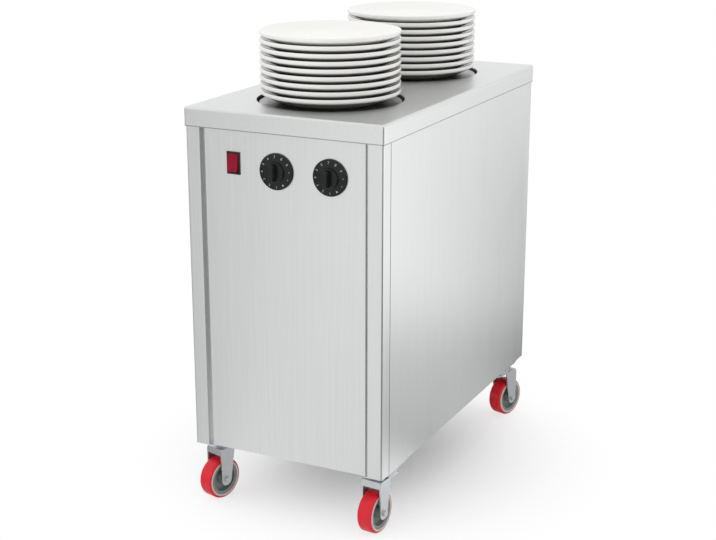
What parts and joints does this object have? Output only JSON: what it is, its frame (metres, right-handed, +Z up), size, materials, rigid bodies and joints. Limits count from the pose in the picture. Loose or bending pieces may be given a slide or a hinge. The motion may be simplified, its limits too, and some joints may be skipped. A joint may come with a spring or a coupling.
{
  "type": "plate warmer",
  "caption": "Heated plate dispenser cabinet on swivel casters: two spring-loaded wells with plate stacks under a folded steel deck, rocker switch and thermostat knobs.",
  "frame": {"origin": "on the floor, under the middle of the part's box", "axes": "+Z up, +X to the right seen from the front, -Y out of the front panel with the controls"},
  "size_m": [0.4468, 0.8598, 1.0099],
  "materials": {
    "stainless_sheet": "brushed",
    "stainless_inner": "mill",
    "spring_steel": "drawn wire",
    "heater_sheath": "heat tinted",
    "zinc_plated_steel": "zinc plated",
    "polyamide_core": "moulded",
    "red_polyurethane": "satin",
    "black_knob": "moulded",
    "black_housing": "moulded",
    "red_rocker": "glossy",
    "copper_capillary": "drawn",
    "terminal_moulding": "moulded",
    "white_porcelain": "glazed"
  },
  "bodies": {
    "cabinet": {"top_deck": "stainless_sheet", "front_panel": "stainless_sheet", "rear_panel": "stainless_sheet", "front_post_left": "stainless_sheet", "front_post_right": "stainless_sheet", "side_panel_left": "stainless_sheet", "side_panel_right": "stainless_sheet", "base_pan": "stainless_sheet", "rear_post_left": "stainless_inner", "rear_post_right": "stainless_inner", "base_rail_front": "stainless_inner", "base_rail_rear": "stainless_inner", "heater_stands": "stainless_inner", "well_tube_front": "stainless_inner", "spring_hangers_front": "stainless_inner", "well_tube_rear": "stainless_inner", "spring_hangers_rear": "stainless_inner", "carrier_springs_front": "spring_steel", "carrier_springs_rear": "spring_steel", "heater_front": "heater_sheath", "heater_rear": "heater_sheath", "rear_panel_screws": "zinc_plated_steel", "caster_bolts": "zinc_plated_steel", "caster_top_plates": "zinc_plated_steel", "kingpins": "zinc_plated_steel", "thermostat_nuts": "zinc_plated_steel", "switch_housing": "black_housing", "thermostat_left": "black_housing", "thermostat_right": "black_housing", "cable_gland": "black_housing", "capillary_front": "copper_capillary", "capillary_rear": "copper_capillary", "terminal_block": "terminal_moulding"},
    "rocker": {"switch_rocker": "red_rocker"},
    "knob_left": {"knob_left": "black_knob", "thermostat_shaft_left": "zinc_plated_steel"},
    "knob_right": {"knob_right": "black_knob", "thermostat_shaft_right": "zinc_plated_steel"},
    "caster_front_left": {"fork_front_left": "zinc_plated_steel", "axle_front_left": "zinc_plated_steel"},
    "wheel_front_left": {"wheel_core_front_left": "polyamide_core", "tyre_front_left": "red_polyurethane"},
    "caster_front_right": {"fork_front_right": "zinc_plated_steel", "axle_front_right": "zinc_plated_steel"},
    "wheel_front_right": {"wheel_core_front_right": "polyamide_core", "tyre_front_right": "red_polyurethane"},
    "caster_rear_left": {"fork_rear_left": "zinc_plated_steel", "axle_rear_left": "zinc_plated_steel"},
    "wheel_rear_left": {"wheel_core_rear_left": "polyamide_core", "tyre_rear_left": "red_polyurethane"},
    "caster_rear_right": {"fork_rear_right": "zinc_plated_steel", "axle_rear_right": "zinc_plated_steel"},
    "wheel_rear_right": {"wheel_core_rear_right": "polyamide_core", "tyre_rear_right": "red_polyurethane"},
    "carrier_front": {"platform_front": "stainless_inner", "carrier_brackets_front": "stainless_inner"},
    "plate_stack_front": {"plates_front": "white_porcelain"},
    "carrier_rear": {"platform_rear": "stainless_inner", "carrier_brackets_rear": "stainless_inner"},
    "plate_stack_rear": {"plates_rear": "white_porcelain"}
  },
  "joints": [
    {"name": "rocker_tip", "type": "hinge", "parent": "cabinet", "child": "rocker", "pos_m": [-0.113, -0.4014, 0.762], "axis": [1, 0, 0], "range_deg": [0, 16]},
    {"name": "knob_left_turn", "type": "hinge", "parent": "cabinet", "child": "knob_left", "pos_m": [-0.015, -0.4039, 0.754], "axis": [0, 1, 0], "range_deg": [0, 270]},
    {"name": "knob_right_turn", "type": "hinge", "parent": "cabinet", "child": "knob_right", "pos_m": [0.104, -0.4039, 0.754], "axis": [0, 1, 0], "range_deg": [0, 270]},
    {"name": "caster_front_left_swivel", "type": "hinge", "parent": "cabinet", "child": "caster_front_left", "pos_m": [-0.185, -0.3274, 0.12], "axis": [0, 0, 1], "continuous": true},
    {"name": "wheel_front_left_roll", "type": "hinge", "parent": "caster_front_left", "child": "wheel_front_left", "pos_m": [-0.19465, -0.36104, 0.045], "axis": [0.9613, -0.2756, 0], "continuous": true},
    {"name": "caster_front_right_swivel", "type": "hinge", "parent": "cabinet", "child": "caster_front_right", "pos_m": [0.185, -0.3274, 0.12], "axis": [0, 0, 1], "continuous": true},
    {"name": "wheel_front_right_roll", "type": "hinge", "parent": "caster_front_right", "child": "wheel_front_right", "pos_m": [0.18134, -0.36221, 0.045], "axis": [0.9945, -0.1045, 0], "continuous": true},
    {"name": "caster_rear_left_swivel", "type": "hinge", "parent": "cabinet", "child": "caster_rear_left", "pos_m": [-0.185, 0.3276, 0.12], "axis": [0, 0, 1], "continuous": true},
    {"name": "wheel_rear_left_roll", "type": "hinge", "parent": "caster_rear_left", "child": "wheel_rear_left", "pos_m": [-0.18134, 0.36241, 0.045], "axis": [0.9945, -0.1045, 0], "continuous": true},
    {"name": "caster_rear_right_swivel", "type": "hinge", "parent": "cabinet", "child": "caster_rear_right", "pos_m": [0.185, 0.3276, 0.12], "axis": [0, 0, 1], "continuous": true},
    {"name": "wheel_rear_right_roll", "type": "hinge", "parent": "caster_rear_right", "child": "wheel_rear_right", "pos_m": [0.19465, 0.36124, 0.045], "axis": [0.9613, -0.2756, 0], "continuous": true},
    {"name": "carrier_front_sink", "type": "slide", "parent": "cabinet", "child": "carrier_front", "axis": [0, 0, 1], "range_m": [-0.445, 0], "stiffness_N_per_m": 550, "springref_m": 0.35, "deforming": ["carrier_springs_front"]},
    {"name": "plates_front_lift", "type": "slide", "parent": "carrier_front", "child": "plate_stack_front", "axis": [0, 0, 1], "range_m": [0, 0.3]},
    {"name": "carrier_rear_sink", "type": "slide", "parent": "cabinet", "child": "carrier_rear", "axis": [0, 0, 1], "range_m": [-0.445, 0], "stiffness_N_per_m": 550, "springref_m": 0.35, "deforming": ["carrier_springs_rear"]},
    {"name": "plates_rear_lift", "type": "slide", "parent": "carrier_rear", "child": "plate_stack_rear", "axis": [0, 0, 1], "range_m": [0, 0.3]}
  ]
}
